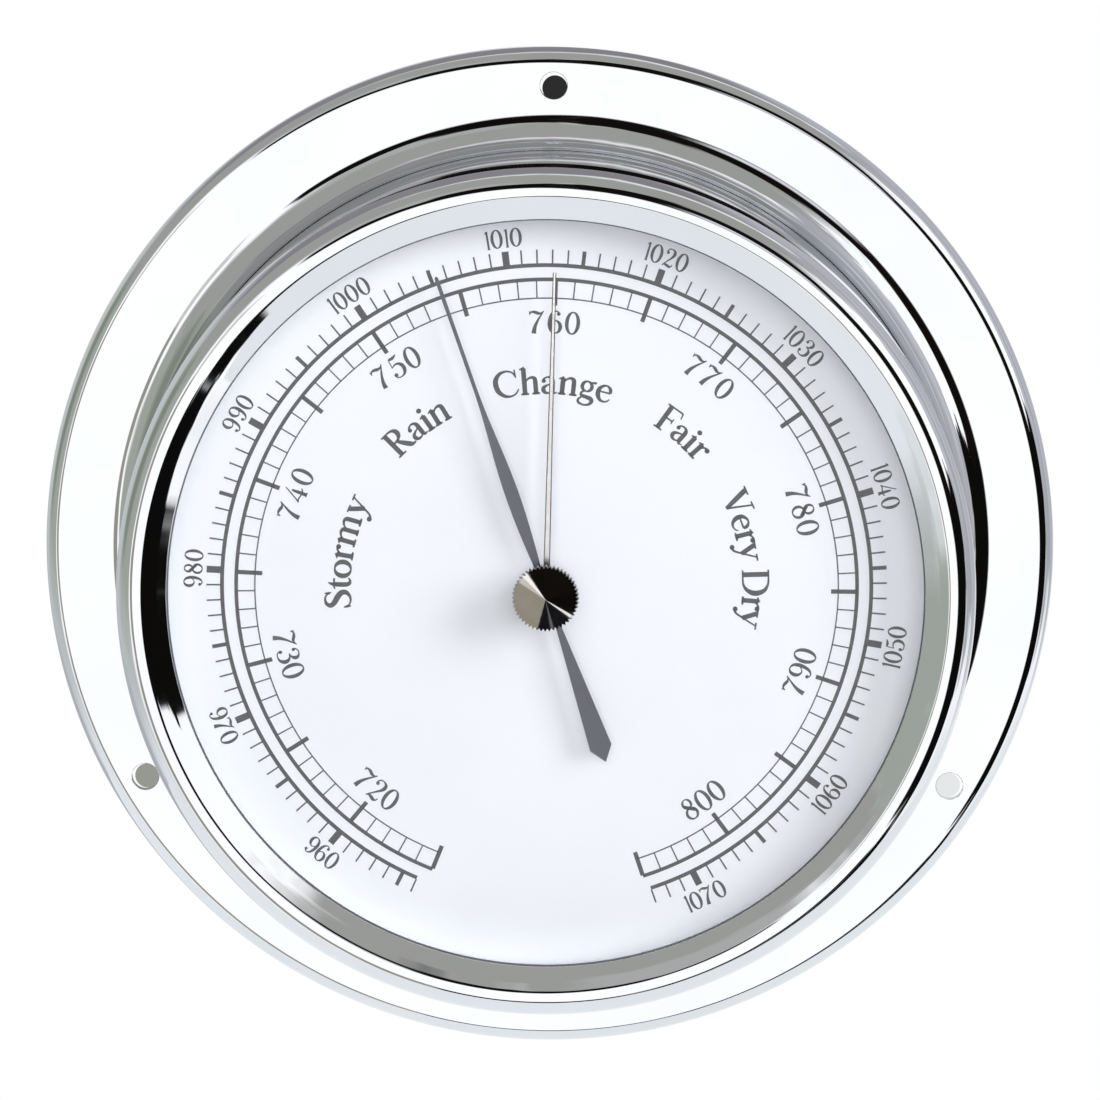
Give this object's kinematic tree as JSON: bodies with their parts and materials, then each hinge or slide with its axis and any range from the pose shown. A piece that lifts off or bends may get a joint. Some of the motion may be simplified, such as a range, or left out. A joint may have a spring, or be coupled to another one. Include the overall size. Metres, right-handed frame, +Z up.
{
  "type": "marine barometer",
  "caption": "Round chromed wall barometer with a flanged case, polished bezel, glazed white dial, blackened pointer and a knob-set marker hand over an aneroid movement.",
  "frame": {"origin": "centre of the rear cover's flat back face, which lies on the wall plane", "axes": "-Y out of the dial towards the viewer, +Z up towards 12 o'clock, +X to the viewer's right"},
  "size_m": [0.13, 0.038, 0.13],
  "materials": {
    "chrome": "mirror-polished chrome plate on brass",
    "glass": "clear flat mineral glass",
    "rubber": "matte black rubber",
    "dial_white": "silk white enamel paint with dark grey printed scales",
    "black_plastic": "moulded black ABS, fine grain",
    "brass": "stamped and turned brass, satin",
    "steel": "turned steel",
    "pointer_finish": "blue-grey lacquered steel",
    "nickel_silver": "rolled nickel silver, satin"
  },
  "bodies": {
    "root": {"case_shell": "chrome", "bezel_ring": "chrome", "glass_pane": "glass", "glass_gasket": "rubber", "dial_spacer_ring": "dial_white", "dial_plate": "dial_white", "dial_seat_ring": "brass", "rear_cover": "black_plastic", "rear_cover_screws": "steel", "glass_bush": "chrome", "bush_nut": "chrome", "spring_washer": "brass", "hairspring_stud": "brass", "hairspring": "steel", "top_cock": "brass", "cock_pillars": "brass", "cock_screws": "steel", "bridge_plate": "brass", "dial_pillars": "brass", "movement_pillars": "brass", "movement_base": "brass", "base_screws": "steel", "cover_spacers": "brass", "capsule_carrier": "nickel_silver", "carrier_screws": "steel", "capsule_rear_diaphragm": "nickel_silver", "capsule_front_diaphragm": "nickel_silver", "capsule_post": "steel", "capsule_post_nut": "steel", "rocker_brackets": "brass", "bracket_screws": "steel"},
    "pointer_body": {"pointer": "pointer_finish", "pointer_collet": "brass", "pointer_arbor": "steel", "pinion": "steel", "hairspring_collet": "brass"},
    "marker_body": {"set_knob": "chrome", "set_spindle": "chrome", "marker_hand": "chrome"},
    "sector_body": {"sector_gear": "brass", "sector_arbor": "steel", "sector_pin": "steel"},
    "rocker_body": {"rocker_shaft": "steel", "capsule_arm": "brass", "fork_arm": "brass"},
    "stud_body": {"push_stud": "steel"},
    "adjuster_body": {"adjusting_screw": "steel"}
  },
  "joints": [
    {"name": "pointer_turn", "type": "hinge", "parent": "root", "child": "pointer_body", "pos_m": [0, -0.03155, 0], "axis": [0, 1, 0], "range_deg": [-139.2, 180.8], "stiffness_Nm_per_rad": 0.001, "deforming": ["hairspring"]},
    {"name": "marker_turn", "type": "hinge", "parent": "root", "child": "marker_body", "pos_m": [0, -0.037, 0], "axis": [0, 1, 0], "continuous": true},
    {"name": "sector_turn", "type": "hinge", "parent": "root", "child": "sector_body", "pos_m": [0.03062, -0.02405, 0.006], "axis": [0, 1, 0], "range_deg": [-15.09, 11.62]},
    {"name": "rocker_turn", "type": "hinge", "parent": "root", "child": "rocker_body", "pos_m": [0, -0.01565, 0.006], "axis": [1, 0, 0], "range_deg": [-5.24, 6.8]},
    {"name": "stud_stroke", "type": "slide", "parent": "root", "child": "stud_body", "axis": [0, 1, 0], "range_m": [-0.00055, 0.00071], "deforming": ["capsule_front_diaphragm"]},
    {"name": "adjusting_screw_turn", "type": "hinge", "parent": "root", "child": "adjuster_body", "pos_m": [0.017, -0.005, 0], "axis": [0, 1, 0], "range_deg": [-180, 180]}
  ],
  "couplings": [
    {"joint": "sector_turn", "follows": "pointer_turn", "ratio": -0.083333},
    {"joint": "rocker_turn", "follows": "pointer_turn", "ratio": 0.0375},
    {"joint": "stud_stroke", "follows": "pointer_turn", "m_per_rad": 0.000225}
  ]
}
